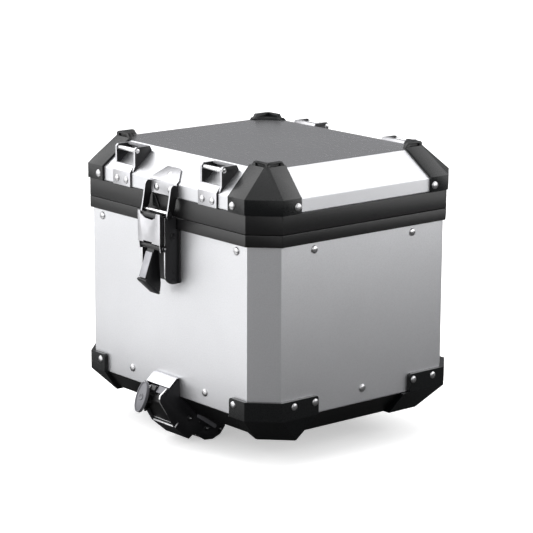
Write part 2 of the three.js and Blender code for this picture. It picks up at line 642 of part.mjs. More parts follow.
function buildLockBody() {
  const block = sideProfile([
    [-165.8, 8], [-172, 11], [-179.5, 9.4], [-186, 4], [-188, -7], [-174, -33.5],
    [-161, -34], [-152, -26], [-150, -1], [-165.8, -1],
  ], -lockInside, lockInside);
  const boss = paddleCylinder(PADDLE_BOSS.radius, PADDLE_BOSS.inner, PADDLE_BOSS.outer);
  const stopHole = barX(STOP_PIN.radius + GAP, -60, 60, STOP_PIN.y, STOP_PIN.z);
  return cut(join(block, boss), stopHole, paddleRoom());
}
add('lock_body', buildLockBody(), blackPlastic);

add('lock_striker', sideProfile([
  [-173.6, -35.1], [-172.4, -33.9], [-166.8, -36.6], [-154.8, -46.6], [-155.6, -47.6], [-167.6, -37.8],
], -lockInside, lockInside), steel);

function buildPaddle() {
  const oval = new THREE.CylinderGeometry(PADDLE.wide / 2, PADDLE.wide / 2, PADDLE.thick, 32);
  oval.scale(1, 1, PADDLE.tall / PADDLE.wide);
  return join(placeOnPaddle(oval), paddleCylinder(PADDLE_SHAFT.radius, PADDLE_SHAFT.inner, 0, 20));
}
add('lock_paddle', buildPaddle(), greyPlastic);

function buildLockHook() {
  const hook = sideProfile([
    [-127, -42], [-116, -41.5], [-113.5, -50], [-116, -58], [-125, -63.2], [-138, -58.6],
    [-138, -54.4], [-128.5, -55],
  ], -12, 12);
  return cut(hook, barX(HOOK_PIN.radius + GAP, -60, 60, HOOK_PIN.y, HOOK_PIN.z));
}
add('lock_hook', buildLockHook(), steel);
add('lock_hook_pin', barX(HOOK_PIN.radius, -LOCK_HALF - 1.5, LOCK_HALF + 1.5, HOOK_PIN.y, HOOK_PIN.z), steel);
add('lock_stop_pin', barX(STOP_PIN.radius, -LOCK_HALF - 1.5, LOCK_HALF + 1.5, STOP_PIN.y, STOP_PIN.z), steel);

// ---- origin: bottom centre of the bounding box -------------------------------------------------------------

const bounds = new THREE.Box3().setFromObject(assembly);
const middle = bounds.getCenter(new THREE.Vector3());
assembly.position.set(-middle.x, -middle.y, -bounds.min.z);

const topCase = new THREE.Group();
topCase.add(assembly);

export default topCase;
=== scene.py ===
import json
import math

import bpy
from mathutils import Matrix, Vector


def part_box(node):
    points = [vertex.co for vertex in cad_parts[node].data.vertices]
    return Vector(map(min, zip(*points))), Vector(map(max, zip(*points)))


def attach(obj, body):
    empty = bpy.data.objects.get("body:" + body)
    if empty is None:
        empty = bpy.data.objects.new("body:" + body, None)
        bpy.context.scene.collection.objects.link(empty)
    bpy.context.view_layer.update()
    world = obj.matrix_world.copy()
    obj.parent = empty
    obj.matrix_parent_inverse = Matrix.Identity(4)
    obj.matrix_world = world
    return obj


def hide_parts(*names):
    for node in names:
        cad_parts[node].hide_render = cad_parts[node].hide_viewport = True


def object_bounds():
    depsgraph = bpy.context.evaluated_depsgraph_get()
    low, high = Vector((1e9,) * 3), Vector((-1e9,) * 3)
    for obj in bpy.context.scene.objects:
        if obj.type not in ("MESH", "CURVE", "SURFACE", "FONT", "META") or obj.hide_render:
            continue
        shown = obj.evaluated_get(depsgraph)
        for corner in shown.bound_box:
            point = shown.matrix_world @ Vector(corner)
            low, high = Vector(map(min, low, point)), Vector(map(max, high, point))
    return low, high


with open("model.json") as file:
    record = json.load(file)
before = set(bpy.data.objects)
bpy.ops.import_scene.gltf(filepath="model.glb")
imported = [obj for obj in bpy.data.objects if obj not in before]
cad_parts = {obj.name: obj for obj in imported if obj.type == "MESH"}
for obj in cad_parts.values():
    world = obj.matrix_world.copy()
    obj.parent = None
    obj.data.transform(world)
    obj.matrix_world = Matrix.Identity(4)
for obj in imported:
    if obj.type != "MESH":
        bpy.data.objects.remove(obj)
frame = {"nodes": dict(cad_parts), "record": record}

cad_low, cad_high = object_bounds()
nodes = frame["nodes"]
MM = 0.001
CORNERS = [("front_left", -1, -1), ("front_right", 1, -1), ("rear_left", -1, 1), ("rear_right", 1, 1)]

# Shapes are given in millimetres from the foot of the aluminium walls, at their middle. The
# camera, the floor and the lights are in metres, in the frame.
wall_low, wall_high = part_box("body_shell")
CENTRE = Vector((0, (wall_low[1] + wall_high[1]) / 2, wall_low[2]))


def local(point):
    """A place in the frame, as millimetres from the foot of the walls."""
    return (Vector(point) - CENTRE) / MM


def local_box(node):
    low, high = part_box(node)
    return local(low), local(high)


# ---- camera ---------------------------------------------------------------------------

VIEW_AZIMUTH = 50.28       # degrees from the latch side towards the right side
VIEW_ELEVATION = 12.85
VIEW_ROLL = 0.21
VIEW_DISTANCE = 3.032
VIEW_AIM = Vector((-0.0044, 0.0156, 0.2091))
VIEW_LENS = 154.7
SENSOR_WIDTH = 36


def make_camera():
    azimuth, elevation = math.radians(VIEW_AZIMUTH), math.radians(VIEW_ELEVATION)
    back = Vector((math.sin(azimuth) * math.cos(elevation),
                   -math.cos(azimuth) * math.cos(elevation), math.sin(elevation)))
    data = bpy.data.cameras.new("camera")
    data.lens = VIEW_LENS
    data.sensor_width = SENSOR_WIDTH
    camera = bpy.data.objects.new("camera", data)
    turn = back.to_track_quat("Z", "Y").to_matrix().to_4x4()
    roll = Matrix.Rotation(math.radians(VIEW_ROLL), 4, "Z")
    camera.matrix_world = Matrix.Translation(VIEW_AIM + back * VIEW_DISTANCE) @ turn @ roll
    bpy.context.scene.collection.objects.link(camera)
    bpy.context.scene.camera = camera


make_camera()

# ---- materials --------------------------------------------------------------------------

SMEAR_SCALE = 70.0               # handling marks on bare steel
COATING_ROUGHNESS = 0.42
# Over these ranges of a face's normal, along the axis named, one look changes to another.
SIDEWAYS_X = (0.55, 0.75)
# Faces turned further down than this take the dark colour: painted shade on undersides.
PAINTED_UNDERSIDE_SHADE_Z = (-0.5, -0.35)
FORWARD_Y = (-0.6, -0.2)
LEVEL_Z = (0.9, 0.98)


def shaded(colour, share):
    return tuple(channel * share for channel in colour)


class Shader:
    """A small builder for node materials."""

    def __init__(self, name):
        self.material = bpy.data.materials.new(name)
        self.material.use_nodes = True
        self.tree = self.material.node_tree
        self.surface = self.tree.nodes["Principled BSDF"]
        coordinates = self.tree.nodes.new("ShaderNodeTexCoord")
        self.position = coordinates.outputs["Object"]
        self.normal = coordinates.outputs["Normal"]

    def feed(self, socket, value):
        if isinstance(value, bpy.types.NodeSocket):
            self.tree.links.new(value, socket)
        elif isinstance(value, tuple) and len(value) == 3 and socket.type == "RGBA":
            socket.default_value = (*value, 1.0)
        else:
            socket.default_value = value

    def node(self, kind, inputs=None, **settings):
        made = self.tree.nodes.new(kind)
        for key, value in settings.items():
            setattr(made, key, value)
        for key, value in (inputs or {}).items():
            self.feed(made.inputs[key], value)
        return made

    def noise(self, scale, detail=3.0, roughness=0.55, stretch=(1, 1, 1)):
        mapped = self.node("ShaderNodeMapping", {"Vector": self.position, "Scale": stretch})
        return self.node("ShaderNodeTexNoise", {
            "Vector": mapped.outputs["Vector"], "Scale": scale, "Detail": detail,
            "Roughness": roughness}).outputs["Fac"]

    def spread(self, value, low, high, from_low=0.3, from_high=0.7):
        return self.node("ShaderNodeMapRange", {
            "Value": value, "From Min": from_low, "From Max": from_high,
            "To Min": low, "To Max": high}).outputs["Result"]

    def math(self, operation, first, second=0.0):
        return self.node("ShaderNodeMath", {0: first, 1: second}, operation=operation).outputs[0]

    def part(self, vector, axis):
        return self.node("ShaderNodeSeparateXYZ", {0: vector}).outputs[axis]

    def mix(self, amount, first, second):
        made = self.node("ShaderNodeMix", data_type="RGBA")
        for index, value in ((0, amount), (6, first), (7, second)):
            self.feed(made.inputs[index], value)
        return made.outputs[2]

    def bump(self, height, strength, distance):
        made = self.node("ShaderNodeBump", {
            "Height": height, "Strength": strength, "Distance": distance})
        self.tree.links.new(made.outputs["Normal"], self.surface.inputs["Normal"])

    def set(self, name, value):
        self.feed(self.surface.inputs[name], value)


def satin_aluminium(name, base, roughness, stretch, grain, contrast, level_roughness=None):
    """Anodised sheet: cloudy tone, fine grain or brushing by the stretch of the noise.

    grain is the strength of its relief, and contrast how far it shows in the tone and the
    roughness. level_roughness, where given, is that of the faces that lie level.
    """
    cloud_share = 0.35
    shader = Shader(name)
    shader.set("Metallic", 1.0)
    clouds = shader.spread(shader.noise(7.0, detail=5.0), 0.0, 1.0)
    speckle = shader.spread(shader.noise(1.0, 3.0, 0.6, stretch), 0.0, 1.0, 0.25, 0.75)
    tone = shader.math("ADD", shader.math("MULTIPLY", clouds, cloud_share),
                       shader.math("MULTIPLY", speckle, contrast))
    shader.set("Base Color", shader.mix(tone, base, shaded(base, 0.84)))
    smoothest, roughest = roughness - 0.08 * contrast, roughness + 0.1 * contrast
    rough = shader.spread(speckle, smoothest, roughest, 0.0, 1.0)
    if level_roughness is not None:
        level = shader.spread(shader.part(shader.normal, "Z"), 0.0, 1.0, *LEVEL_Z)
        finer = shader.math("MULTIPLY", level, level_roughness - roughness)
        rough = shader.math("ADD", rough, finer)
    shader.set("Roughness", rough)
    shader.bump(speckle, grain, 0.4 * MM)
    return shader.material


def polished_steel(name, base, roughness, grain=0.08):
    """Bright steel with faint handling smears."""
    shader = Shader(name)
    shader.set("Metallic", 1.0)
    smear = shader.noise(SMEAR_SCALE, detail=4.0)
    shader.set("Base Color", shader.mix(shader.spread(smear, 0.0, 1.0), base, shaded(base, 0.82)))
    shader.set("Roughness", shader.spread(smear, roughness - 0.06, roughness + 0.08))
    shader.bump(shader.noise(900.0, detail=2.0), grain, 0.2 * MM)
    return shader.material


def moulded(name, base, roughness, grain_scale=1300.0, grain=0.25, specular=0.5):
    """Moulded nylon, rubber or coated steel: fine grain, faint dust in the tone."""
    shader = Shader(name)
    dust = shader.noise(22.0, detail=5.0)
    dusty = tuple(channel * 1.5 + 0.001 for channel in base)
    shader.set("Base Color", shader.mix(shader.spread(dust, 0.0, 0.7), base, dusty))
    shader.set("Specular IOR Level", specular)
    fine = shader.noise(grain_scale, detail=2.0)
    shader.set("Roughness", shader.spread(fine, roughness - 0.06, roughness + 0.08))
    shader.bump(fine, grain, 0.3 * MM)
    return shader.material


def coated_sides_with_painted_shade(name, bright, dark, roughness, front_of=None):
    """A steel pressing with black coated cheeks, undersides painted dark as painted shade, and other faces
    bright and bare.

    With front_of, a place along Y in metres, only what faces forward ahead of it is bare.
    """
    shader = Shader(name)
    sideways = shader.math("ABSOLUTE", shader.part(shader.normal, "X"))
    bare = shader.spread(sideways, 1.0, 0.0, *SIDEWAYS_X)
    # Faces turning downward take the dark colour too. This is painted shade on undersides, not coating.
    painted_underside_shade_mask = shader.spread(shader.part(shader.normal, "Z"), 0.0, 1.0, *PAINTED_UNDERSIDE_SHADE_Z)
    bare = shader.math("MULTIPLY", bare, painted_underside_shade_mask)
    if front_of is not None:
        fade = 0.3 * MM
        ahead = shader.spread(shader.part(shader.position, "Y"), 1.0, 0.0,
                              front_of - fade, front_of + fade)
        forward = shader.spread(shader.part(shader.normal, "Y"), 1.0, 0.0, *FORWARD_Y)
        bare = shader.math("MULTIPLY", bare, shader.math("MULTIPLY", ahead, forward))
    smear = shader.noise(SMEAR_SCALE, detail=4.0)
    shader.set("Metallic", bare)
    shine = shader.mix(shader.spread(smear, 0.0, 1.0), bright, shaded(bright, 0.84))
    shader.set("Base Color", shader.mix(bare, dark, shine))
    smoother = shader.math("MULTIPLY", bare, roughness - COATING_ROUGHNESS)
    rough = shader.math("ADD", smoother, COATING_ROUGHNESS)
    smeared = shader.math("MULTIPLY", smear, 0.06)
    shader.set("Roughness", shader.math("ADD", rough, smeared))
    shader.bump(shader.noise(1200.0, detail=2.0), 0.1, 0.2 * MM)
    return shader.material


ANODISED = (0.79, 0.795, 0.815)
BRUSHED = (0.72, 0.725, 0.745)
STEEL = (0.88, 0.88, 0.89)
STRAP_STEEL = (0.36, 0.36, 0.38)
RIVET_STEEL = (0.66, 0.66, 0.67)
CHEEKED_STEEL = (0.62, 0.62, 0.64)
# Dark coating colours. In the coated pressings they also paint the undersides dark, as painted shade.
COATING_AND_PAINTED_SHADE = (0.010, 0.010, 0.011)
HOUSING_COATING_AND_PAINTED_SHADE = (0.024, 0.024, 0.026)
LOCK_COATING_AND_PAINTED_SHADE = (0.018, 0.018, 0.02)
BLACK_NYLON = (0.0022, 0.0022, 0.0026)
CAP_NYLON = (0.0022, 0.0028, 0.0032)
GREY_NYLON = (0.17, 0.17, 0.185)
RUBBER = (0.012, 0.012, 0.012)

# Cells of the grain's noise to a metre, along each axis.
BLASTED = (750.0, 750.0, 750.0)
BRUSHED_ALONG_X = (90.0, 1100.0, 1100.0)

# What faces forward on these two is bare steel ahead of these places along Y, in metres.
bare_latch_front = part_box("latch_housing")[0][1] + 0.8 * MM
bare_lock_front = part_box("lock_bracket")[0][1] + 12 * MM

MATERIALS = {
    "panel": satin_aluminium("panel_aluminium", ANODISED, roughness=0.43, stretch=BLASTED,
                             grain=0.2, contrast=0.6),
    "lid": satin_aluminium("lid_aluminium", BRUSHED, roughness=0.44, stretch=BRUSHED_ALONG_X,
                           grain=0.02, contrast=0.2, level_roughness=0.26),
    "steel": polished_steel("bright_steel", STEEL, roughness=0.26),
    "strap": polished_steel("strap_steel", STRAP_STEEL, roughness=0.42),
    "rivet": polished_steel("rivet_steel", RIVET_STEEL, roughness=0.27, grain=0.02),
    "wire": polished_steel("wire_steel", STEEL, roughness=0.5),
    "black": moulded("black_nylon", BLACK_NYLON, roughness=0.36, specular=0.56),
    "cap": moulded("cap_nylon", CAP_NYLON, roughness=0.30, specular=0.44),
    "coated": moulded("black_coated_steel", COATING_AND_PAINTED_SHADE, roughness=0.34, grain_scale=2200.0, grain=0.12),
    "grey": moulded("grey_nylon", GREY_NYLON, roughness=0.4, specular=0.4),
    "rubber": moulded("gasket_rubber", RUBBER, roughness=0.7),
    "cheeked": coated_sides_with_painted_shade("coated_cheeks_painted_shade", CHEEKED_STEEL, COATING_AND_PAINTED_SHADE, roughness=0.38),
    "housing": coated_sides_with_painted_shade("housing_coating_painted_shade", STEEL, HOUSING_COATING_AND_PAINTED_SHADE, roughness=0.3,
                            front_of=bare_latch_front),
    "lock": coated_sides_with_painted_shade("lock_coating_painted_shade", STEEL, LOCK_COATING_AND_PAINTED_SHADE, roughness=0.3, front_of=bare_lock_front),
}

SLOT_MATERIAL = {
    "aluminium": "panel", "bright_steel": "steel", "black_plastic": "black",
    "black_steel": "coated", "grey_plastic": "grey", "rubber": "rubber",
}
NODE_MATERIAL = {
    "lid_shell": "lid", "lid_hasp": "cheeked", "lock_hood": "cheeked", "latch_cover": "cheeked",
    "latch_housing": "housing", "lock_bracket": "lock", "lock_hook_pin": "coated",
    "lock_stop_pin": "coated", "latch_pivot_pin": "coated", "latch_lever_strap": "strap",
    **{f"{corner}_lid_cap": "cap" for corner, _, _ in CORNERS},
    **{f"{corner}_bumper": "cap" for corner, _, _ in CORNERS},
    **{f"{corner}_lash_bracket": "cheeked" for corner, _, _ in CORNERS},
}

# ---- CAD nodes: softened edges and better materials ------------------------------------------

WELD_DISTANCE = 0.02                       # millimetres, as the edges below
FLAT_WITHIN = math.radians(0.5)            # faces this close in angle merge into one
SHARP_FROM = math.radians(25)              # edges at least this sharp are rounded
ROUNDING_STEPS = 2
EDGE = 0.35
EDGES = {"lid_shell": 1.2, "body_shell": 1.2, "lid_rim": 0.7, "body_rim": 0.7, "base_frame": 0.7}
CORNER_PIECE_EDGE = 0.8

# Merging flat faces that run around an opening closes the opening. So the large nodes and the
# bumpers keep their own faces, and flat shading.
UNMERGED = ("body_shell", "lid_shell", "base_frame", "floor_panel",
            *(f"{corner}_bumper" for corner, _, _ in CORNERS))


def shade_smooth(mesh, smooth=True):
    for polygon in mesh.polygons:
        polygon.use_smooth = smooth


def soften(piece, edge, merge_faces=True):
    """Rounds the sharp edges of a mesh by a small radius, in millimetres.

    With merge_faces, the flat faces are merged first, so that the rounding runs evenly.
    """
    weld = piece.modifiers.new("weld", "WELD")
    weld.merge_threshold = WELD_DISTANCE * MM
    if merge_faces:
        flat = piece.modifiers.new("merge_flat_faces", "DECIMATE")
        flat.decimate_type = "DISSOLVE"
        flat.angle_limit = FLAT_WITHIN
    bevel = piece.modifiers.new("soft_edges", "BEVEL")
    bevel.width = edge * MM
    bevel.segments = ROUNDING_STEPS
    bevel.limit_method = "ANGLE"
    bevel.angle_limit = SHARP_FROM
    bevel.harden_normals = merge_faces
    bevel.use_clamp_overlap = True
    shade_smooth(piece.data, merge_faces)


def dress_cad_nodes():
    slots = {part["node"]: part["material_slot"] for part in frame["record"]["subparts"]}
    for name, piece in nodes.items():
        key = NODE_MATERIAL.get(name, SLOT_MATERIAL[slots[name]])
        piece.data.materials.clear()
        piece.data.materials.append(MATERIALS[key])
        corner_piece = name.endswith(("_bumper", "_lid_cap"))
        edge = CORNER_PIECE_EDGE if corner_piece else EDGES.get(name, EDGE)
        soften(piece, edge, merge_faces=name not in UNMERGED)


dress_cad_nodes()

# ---- forms: plain lists of points and faces ------------------------------------------------------


def revolve(profile, segments=28):
    """A closed turned form around Z; the profile starts and ends on the axis."""
    rings = profile[1:-1]
    points = [Vector((0, 0, profile[0][1]))]
    for radius, height in rings:
        for step in range(segments):
            angle = 2 * math.pi * step / segments
            points.append(Vector((radius * math.cos(angle), radius * math.sin(angle), height)))
    points.append(Vector((0, 0, profile[-1][1])))
    faces = []
    for step in range(segments):
        after = (step + 1) % segments
        faces.append((0, 1 + after, 1 + step))
        for ring in range(len(rings) - 1):
            low, high = 1 + ring * segments, 1 + (ring + 1) * segments
            faces.append((low + step, low + after, high + after, high + step))
        last = 1 + (len(rings) - 1) * segments
        faces.append((last + step, last + after, len(points) - 1))
    return points, faces


def slab(outline, low, high):
    """An outline in a plane, raised from low to high along the plane's normal."""
    count = len(outline)
    points = [Vector((u, v, low)) for u, v in outline] + [Vector((u, v, high)) for u, v in outline]
    faces = [tuple(reversed(range(count))), tuple(range(count, 2 * count))]
    for here in range(count):
        after = (here + 1) % count
        faces.append((here, after, after + count, here + count))
    return points, faces


def moved(form, matrix):
    points, faces = form
    if matrix.determinant() < 0:
        faces = [tuple(reversed(face)) for face in faces]
    return [matrix @ point for point in points], faces


def together(forms):
    points, faces = [], []
    for some_points, some_faces in forms:
        start = len(points)
        points += some_points
        faces += [tuple(index + start for index in face) for face in some_faces]
    return points, faces


# A (y, z) side view run along X, and an (x, z) front view run along -Y.
SIDE_VIEW = Matrix(((0, 0, 1, 0), (1, 0, 0, 0), (0, 1, 0, 0), (0, 0, 0, 1)))
FRONT_VIEW = Matrix(((1, 0, 0, 0), (0, 0, -1, 0), (0, 1, 0, 0), (0, 0, 0, 1)))


def side_slab(outline, left, right):
    return moved(slab(outline, left, right), SIDE_VIEW)


def front_slab(outline, front, back):
    return moved(slab(outline, -back, -front), FRONT_VIEW)


def facing(outward, place):
    """Turns a form made around Z so that Z points outward, and puts it in place."""
    return Matrix.Translation(Vector(place)) @ Vector(outward).to_track_quat("Z", "Y").to_matrix().to_4x4()


def ellipse(half_wide, half_tall, count=40):
    return [(half_wide * math.cos(2 * math.pi * i / count), half_tall * math.sin(2 * math.pi * i / count))
            for i in range(count)]


def add_piece(name, form, material, body, edge=0.25, stands_for=()):
    """A riding piece from a form in millimetres from the foot of the walls.

    stands_for names the CAD nodes that it replaces, if any.
    """
    points, faces = form
    mesh = bpy.data.meshes.new(name)
    mesh.from_pydata([CENTRE + point * MM for point in points], [], faces)
    mesh.materials.append(MATERIALS[material])
    piece = bpy.data.objects.new(name, mesh)
    bpy.context.scene.collection.objects.link(piece)
    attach(piece, body)
    if stands_for:
        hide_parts(*stands_for)
    if edge:
        soften(piece, edge)
    else:
        shade_smooth(mesh)


# ---- rivets ------------------------------------------------------------------------------------

RIVET_RADIUS = 5.2
SMALL_RIVET_RADIUS = 4.7
RIVET_HEIGHT = 2.25
RIVET_SKIRT = 0.45               # height of the upright rim below the dome
DOME_RADIUS = 4.9
DOME_FOOT = 0.6
DOME_STEPS = 7


def rivet(radius=RIVET_RADIUS):
    """A domed rivet head with a low skirt, scaled from the large one."""
    profile = [(0, 0), (RIVET_RADIUS, 0), (RIVET_RADIUS, RIVET_SKIRT)]
    for step in range(DOME_STEPS):
        angle = step / DOME_STEPS * math.pi / 2
        height = DOME_FOOT + (RIVET_HEIGHT - DOME_FOOT) * math.sin(angle)
        profile.append((DOME_RADIUS * math.cos(angle), height))
    profile.append((0, RIVET_HEIGHT))
    scale = radius / RIVET_RADIUS
    return revolve([(r * scale, height * scale) for r, height in profile])


def rivets_at(places, radius=RIVET_RADIUS):
    return together([moved(rivet(radius), facing(outward, place)) for outward, place in places])


OUTWARD = {"front": (0, -1, 0), "rear": (0, 1, 0), "left": (-1, 0, 0), "right": (1, 0, 0)}


def dress_body_rivets():
    """Each plain CAD rivet head gives way to a finished one in the same place."""
    for name in nodes:
        if "_rivet" not in name:
            continue
        low, high = local_box(name)
        middle = (low + high) / 2
        outward = OUTWARD[name.split("_")[0]]
        thickness = abs((high - low).dot(Vector(outward)))
        seat = middle - Vector(outward) * thickness / 2
        add_piece(f"{name}_head", rivets_at([(outward, seat)]), "rivet", "root",
                  edge=0, stands_for=[name])


CAP_RIVET_X, CAP_RIVET_Y, CAP_RIVET_Z = 139.2, 114.5, 268.2
BUMPER_RIVET_X, BUMPER_RIVETS_Y, BUMPER_RIVET_Z = 140.5, (83.9, 118), 16.4


def outer_faces(node, across, along):
    """Where a corner piece ends on its side of the case, along X and along Y."""
    low, high = local_box(node)
    return (high if across > 0 else low)[0], (high if along > 0 else low)[1]


def dress_corner_rivets():
    for corner, across, along in CORNERS:
        outer_x, outer_y = outer_faces(f"{corner}_lid_cap", across, along)
        places = [((0, along, 0), (across * CAP_RIVET_X, outer_y, CAP_RIVET_Z)),
                  ((across, 0, 0), (outer_x, along * CAP_RIVET_Y, CAP_RIVET_Z))]
        add_piece(f"{corner}_cap_rivets", rivets_at(places), "rivet", "lid", edge=0)

        outer_x, outer_y = outer_faces(f"{corner}_bumper", across, along)
        places = [((0, along, 0), (across * BUMPER_RIVET_X, outer_y, BUMPER_RIVET_Z))]
        for y in BUMPER_RIVETS_Y:
            places.append(((across, 0, 0), (outer_x, along * y, BUMPER_RIVET_Z)))
        add_piece(f"{corner}_bumper_rivets", rivets_at(places, SMALL_RIVET_RADIUS), "rivet",
                  "root", edge=0)


LASH_RIVET_SPACING = 9.8
LASH_RIVET_Z = 268


def dress_lash_rivets():
    for corner, across, along in CORNERS:
        low, high = local_box(f"{corner}_lash_bracket")
        middle = (low[0] + high[0]) / 2
        face = high[1] if along > 0 else low[1]
        places = [((0, along, 0), (middle + side * LASH_RIVET_SPACING, face, LASH_RIVET_Z))
                  for side in (-1, 1)]
        add_piece(f"{corner}_lash_rivets", rivets_at(places, SMALL_RIVET_RADIUS), "rivet",
                  "lid", edge=0)


dress_body_rivets()
dress_corner_rivets()
dress_lash_rivets()

# ---- screws and small turned pieces --------------------------------------------------------------


def screw(radius, height):
    """A low round screw head with a sunken drive, in shares of its radius and height."""
    return revolve([(0, 0), (radius, 0), (radius, height * 0.6), (radius * 0.86, height),
                    (radius * 0.45, height), (radius * 0.38, height * 0.35), (0, height * 0.35)], 24)


def collar(radius, height):
    """A ring with a bevelled rim around a sunken seat, in shares of its radius and height."""
    return revolve([(0, 0), (radius, 0), (radius, height * 0.55), (radius * 0.9, height),
                    (radius * 0.72, height), (radius * 0.6, height * 0.3), (0, height * 0.3)], 28)


def capsule(start, end, radius, steps=8):
    """Outline of a straight bar with round ends."""
    start, end = Vector(start), Vector(end)
    heading = math.atan2(end[1] - start[1], end[0] - start[0])
    outline = []
    for centre, first in ((end, heading - math.pi / 2), (start, heading + math.pi / 2)):
        for step in range(steps + 1):
            angle = first + math.pi * step / steps
            outline.append((centre[0] + radius * math.cos(angle), centre[1] + radius * math.sin(angle)))
    return outline


def hoop(outer, inner, low, high):
    """A flat ring between two outlines of the same number of points."""
    count = len(outer)
    levels = [(outer, low), (outer, high), (inner, high), (inner, low)]
    points = [Vector((u, v, height)) for outline, height in levels for u, v in outline]
    faces = []
    for level in range(4):
        here, above = level * count, (level + 1) % 4 * count
        for step in range(count):
            after = (step + 1) % count
            faces.append((here + step, here + after, above + after, above + step))
    return points, faces


def rod(path, radius, sides=12):
    """A bent round rod with mitred corners along a few points."""
    path = [Vector(point) for point in path]
    side = (path[1] - path[0]).cross(path[2] - path[1]).normalized()
    points, faces = [], []
    for index, point in enumerate(path):
        before = (point - path[index - 1]).normalized() if index else None
        after = (path[index + 1] - point).normalized() if index + 1 < len(path) else None
        along = ((before or after) + (after or before)).normalized()
        up = side.cross(along).normalized()
        stretch = 1 / along.dot(after or before)
        for step in range(sides):
            angle = 2 * math.pi * step / sides
            points.append(point + side * radius * math.cos(angle) + up * radius * stretch * math.sin(angle))
    for index in range(len(path) - 1):
        for step in range(sides):
            after = (step + 1) % sides
            low, high = index * sides, (index + 1) * sides
            faces.append((low + step, low + after, high + after, high + step))
    faces.append(tuple(reversed(range(sides))))
    faces.append(tuple(range((len(path) - 1) * sides, len(path) * sides)))
    return points, faces


def both_sides(make):
    """The same thing on the left (-1) and right (1)."""
    return together([make(side) for side in (-1, 1)])


def on_side(side, x, y, z):
    """A place at x from the middle on one side, for a form that faces outward there."""
    return facing((side, 0, 0), (side * x, y, z))


def cheek_slab(outline, side, near, far):
    """A side view's outline as a slab between two distances from the middle, on one side."""
    return side_slab(outline, *sorted((side * near, side * far)))


def middle_of(node):
    low, high = local_box(node)
    return (low + high) / 2


# ---- latch and hasp ----------------------------------------------------------------------------------

LATCH_BOSS_Y, LATCH_BOSS_Z = -175, 211.5
LATCH_EYELETS_Z = (155.8, 164.3)
LATCH_SHADOW_PLATE_SIDE = 3             # how far the black plate, painted contact shadow, shows beside the housing
LATCH_SHADOW_PLATE_DEPTH = (2.2, 0.1)   # its front and back, ahead of the housing's back


def dress_latch():
    low, high = local_box("latch_housing")
    half, wall = high[0], high[1]

    def collars(side):
        return moved(collar(4.4, 1.4), on_side(side, half, LATCH_BOSS_Y, LATCH_BOSS_Z))

    def cores(side):
        return moved(screw(2.0, 1.2), on_side(side, half + 0.3, LATCH_BOSS_Y, LATCH_BOSS_Z))

    def eyelets(side):
        return together([moved(collar(1.5, 0.5), on_side(side, half, LATCH_BOSS_Y, z))
                         for z in LATCH_EYELETS_Z])

    add_piece("latch_side_collars", both_sides(collars), "coated", "root", edge=0)
    add_piece("latch_side_screws", both_sides(cores), "coated", "root", edge=0)
    add_piece("latch_side_eyelets", both_sides(eyelets), "coated", "root", edge=0)

    plate_half = half + LATCH_SHADOW_PLATE_SIDE
    plate_bottom = low[2] + 1
    plate_top = local_box("body_rim")[0][2] - 0.6
    plate = [(-plate_half, plate_bottom), (plate_half, plate_bottom), (plate_half, plate_top),
             (-plate_half, plate_top)]
    front, back = LATCH_SHADOW_PLATE_DEPTH
    # A black plate that shows beside the housing. It is drawn as a mounting plate and stands for the
    # painted contact shadow along the housing's sides.
    add_piece("latch_shadow_plate", front_slab(plate, wall - front, wall - back), "coated",
              "root", edge=0.8)

    pin_end = local_box("latch_pivot_pin")[1][0]
    _, pin_y, pin_z = middle_of("latch_pivot_pin")

    def pin_heads(side):
        return moved(screw(1.5, 0.8), on_side(side, pin_end, pin_y, pin_z))

    add_piece("latch_pivot_heads", both_sides(pin_heads), "rivet", "root", edge=0)


LID_SLOPE = math.radians(40.7)
HASP_RIVETS_X, HASP_RIVETS_Z = 14, 268.8
HASP_SLOPE_RIVET = (0, -160, 285.9)
# A black wedge on the lid's rim between the hasp's ears: painted shadow, where the belt lies in shade.
HASP_SHADOW_WEDGE = [(-22.5, 243), (-8, 243), (-17.5, 259), (-22.5, 259)]
HASP_SHADOW_WEDGE_DEPTH = (2.2, 0.2)   # its front and back, ahead of the lid's rim


def dress_hasp():
    band_front = local_box("front_left_lash_bracket")[0][1] + 0.2
    band = [((0, -1, 0), (side * HASP_RIVETS_X, band_front, HASP_RIVETS_Z)) for side in (-1, 1)]
    slope = [((0, -math.sin(LID_SLOPE), math.cos(LID_SLOPE)), HASP_SLOPE_RIVET)]
    add_piece("hasp_rivets", rivets_at(band + slope, SMALL_RIVET_RADIUS), "rivet",
              "lid", edge=0)

    rim_front = local_box("lid_rim")[0][1]
    front, back = HASP_SHADOW_WEDGE_DEPTH
    add_piece("hasp_shadow_wedge", front_slab(HASP_SHADOW_WEDGE, rim_front - front, rim_front - back), "cap",
              "lid", edge=0.5)

    bar_end = local_box("lid_hasp_bar")[1][0]
    _, bar_y, bar_z = middle_of("lid_hasp_bar")

    def bar_ends(side):
        return moved(screw(2.6, 0.8), on_side(side, bar_end, bar_y, bar_z))

    add_piece("hasp_bar_ends", both_sides(bar_ends), "coated", "lid", edge=0)


# ---- mount lock ---------------------------------------------------------------------------------------

# Side views, as (y, z).
CAM_COVER = [(-182.4, 13.4), (-188.9, 6.2), (-187.4, 4.8), (-181.2, 11.8)]
PLUNGER_HOUSING = [(-179, 12.4), (-187.2, 12.6), (-190.4, 8.4), (-188.4, 2.2), (-181, 5)]
CATCH_TAB = [(-140.6, -57.2), (-139.4, -55.6), (-121.6, -63.6), (-122.6, -65.6)]
GUIDE_STRIP = ((-134.5, -31.2), (-108.5, -49.6))
CHEEK_SLOT = ((-131.5, -40.2), (-117.5, -50))
HEEL_SCREW = (-98.6, -55.3)
GUIDE_SCREWS = [(-149.2, -31.4), (-121.3, -50)]
MOUTH_WIRE = [(-167.5, -34.0), (-172.6, -39.2)]

